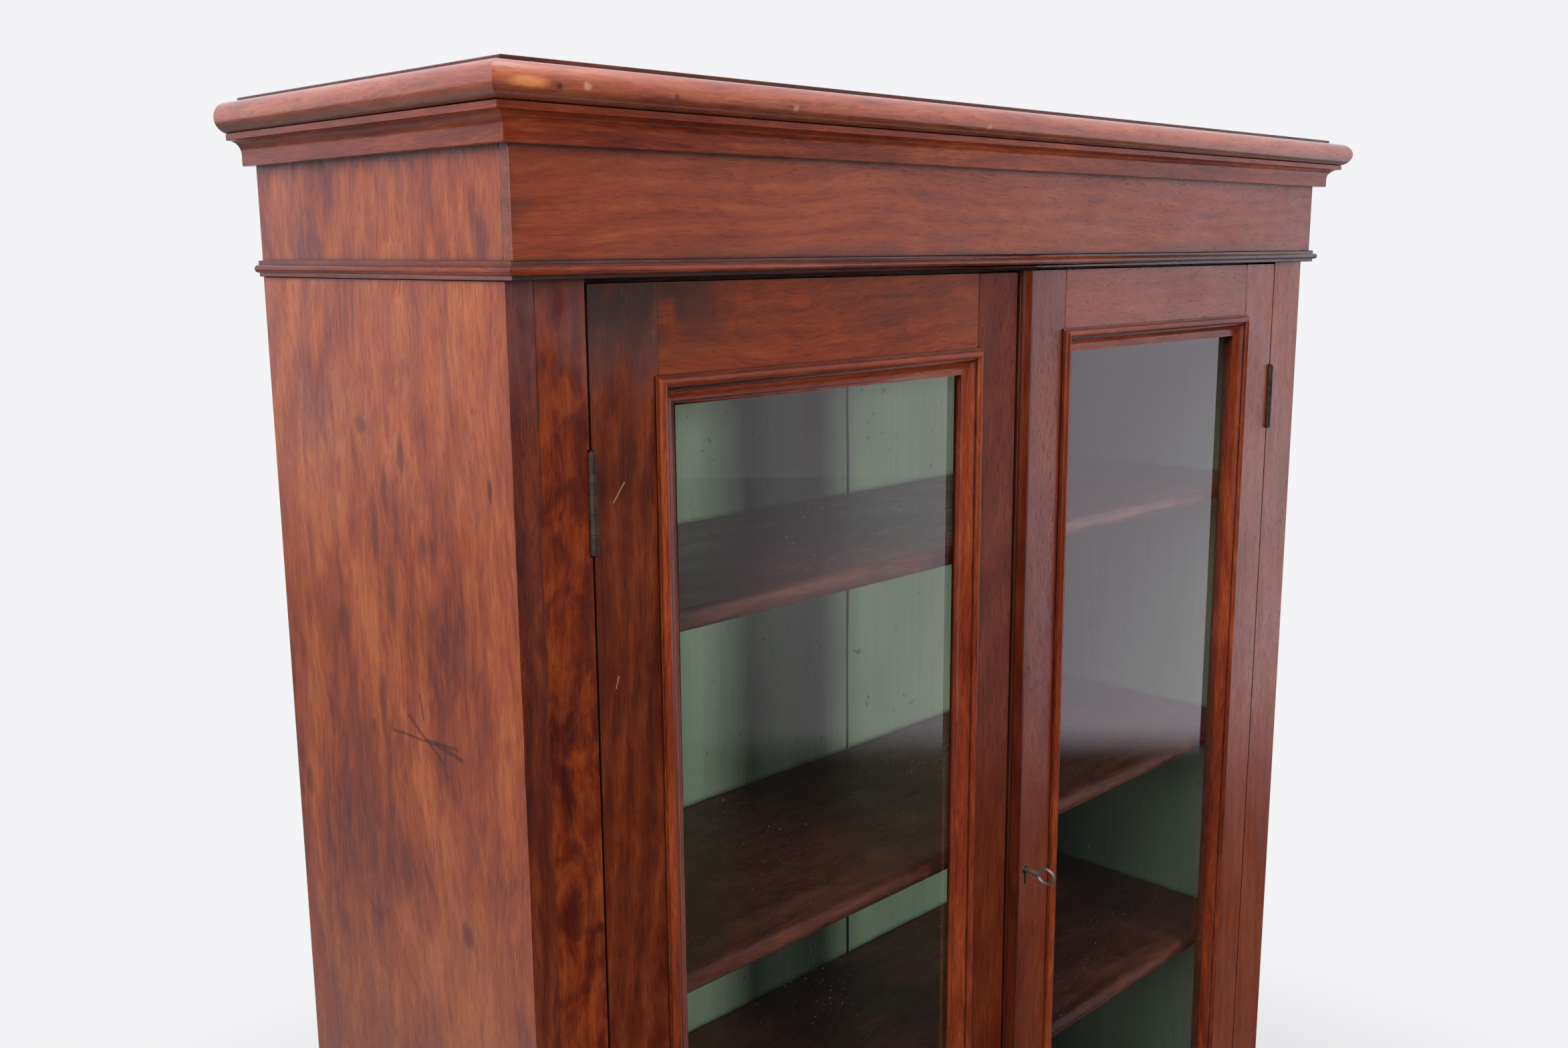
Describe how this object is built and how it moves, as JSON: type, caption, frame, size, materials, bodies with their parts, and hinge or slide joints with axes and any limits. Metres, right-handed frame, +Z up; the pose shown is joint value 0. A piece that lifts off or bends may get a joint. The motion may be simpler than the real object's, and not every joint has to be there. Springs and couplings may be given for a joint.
{
  "type": "glass-door cabinet",
  "caption": "Tall wooden cabinet with glazed doors on butt hinges, shelves, a lock with its key, bolts on one door, a plinth and a lift-off moulded cap.",
  "frame": {"origin": "middle of the bounding box's footprint, on the floor", "axes": "+Z up, +X to the right seen from the front, +Y from the front to the back; the doors face -Y"},
  "size_m": [1.151, 0.3626, 1.7],
  "materials": {
    "mahogany": "waxed, worn",
    "painted_boards": "old matt green paint",
    "softwood": "bare",
    "pane_glass": "old drawn glass",
    "hinge_brass": "darkened",
    "lock_brass": "dull",
    "lock_steel": "dull",
    "screw_steel": "dull",
    "key_iron": "worn"
  },
  "bodies": {
    "root": {"astragal_mouldings": "mahogany", "back_boards": "painted_boards", "bolt_keeps": "mahogany", "cap_rails": "softwood", "cap_top_board": "mahogany", "carcass_bottom": "mahogany", "carcass_screws": "screw_steel", "carcass_top": "mahogany", "cornice_bullnose_front": "mahogany", "cornice_bullnose_left": "mahogany", "cornice_bullnose_right": "mahogany", "cornice_cove_front": "mahogany", "cornice_cove_left": "mahogany", "cornice_cove_right": "mahogany", "frieze_front": "mahogany", "frieze_side_left": "mahogany", "frieze_side_right": "mahogany", "front_stile_left": "mahogany", "front_stile_right": "mahogany", "glue_blocks_and_stops": "softwood", "hinge_frame_leaves": "hinge_brass", "hinge_pins": "hinge_brass", "plinth_front": "mahogany", "plinth_mouldings": "mahogany", "plinth_side_left": "mahogany", "plinth_side_right": "mahogany", "shelf_1": "mahogany", "shelf_2": "mahogany", "shelf_3": "mahogany", "shelf_4": "mahogany", "shelf_bearers": "mahogany", "side_panel_left": "mahogany", "side_panel_right": "mahogany"},
    "left_door": {"left_door_bolt_plates": "lock_brass", "left_door_bottom_rail": "mahogany", "left_door_glass": "pane_glass", "left_door_glass_beads": "mahogany", "left_door_glazing_moulding": "mahogany", "left_door_hinge_leaves": "hinge_brass", "left_door_hinge_stile": "mahogany", "left_door_meeting_stile": "mahogany", "left_door_screws": "screw_steel", "left_door_top_rail": "mahogany", "lock_strike_plate": "lock_brass"},
    "right_door": {"keyhole_escutcheon": "lock_brass", "lock_case": "lock_brass", "right_door_bottom_rail": "mahogany", "right_door_glass": "pane_glass", "right_door_glass_beads": "mahogany", "right_door_glazing_moulding": "mahogany", "right_door_hinge_leaves": "hinge_brass", "right_door_hinge_stile": "mahogany", "right_door_meeting_bead": "mahogany", "right_door_meeting_stile": "mahogany", "right_door_screws": "screw_steel", "right_door_top_rail": "mahogany"},
    "key": {"key": "key_iron"},
    "lock_bolt": {"lock_bolt": "lock_steel"},
    "left_top_bolt": {"left_door_top_bolt": "lock_brass"},
    "left_bottom_bolt": {"left_door_bottom_bolt": "lock_brass"}
  },
  "joints": [
    {"name": "left_door_hinge", "type": "hinge", "parent": "root", "child": "left_door", "pos_m": [-0.482, -0.14295, 0.843], "axis": [0, 0, -1], "range_deg": [0, 150]},
    {"name": "right_door_hinge", "type": "hinge", "parent": "root", "child": "right_door", "pos_m": [0.482, -0.14295, 0.843], "axis": [0, 0, 1], "range_deg": [0, 150]},
    {"name": "key_turn", "type": "hinge", "parent": "right_door", "child": "key", "pos_m": [0.031, -0.14175, 0.9908], "axis": [0, 1, 0], "range_deg": [0, 180]},
    {"name": "lock_bolt_slide", "type": "slide", "parent": "right_door", "child": "lock_bolt", "axis": [-1, 0, 0], "range_m": [0, 0.01]},
    {"name": "left_top_bolt_slide", "type": "slide", "parent": "left_door", "child": "left_top_bolt", "axis": [0, 0, 1], "range_m": [0, 0.012]},
    {"name": "left_bottom_bolt_slide", "type": "slide", "parent": "left_door", "child": "left_bottom_bolt", "axis": [0, 0, -1], "range_m": [0, 0.012]}
  ],
  "couplings": [
    {"joint": "key_turn", "follows": "lock_bolt_slide", "rad_per_m": 314.16}
  ]
}
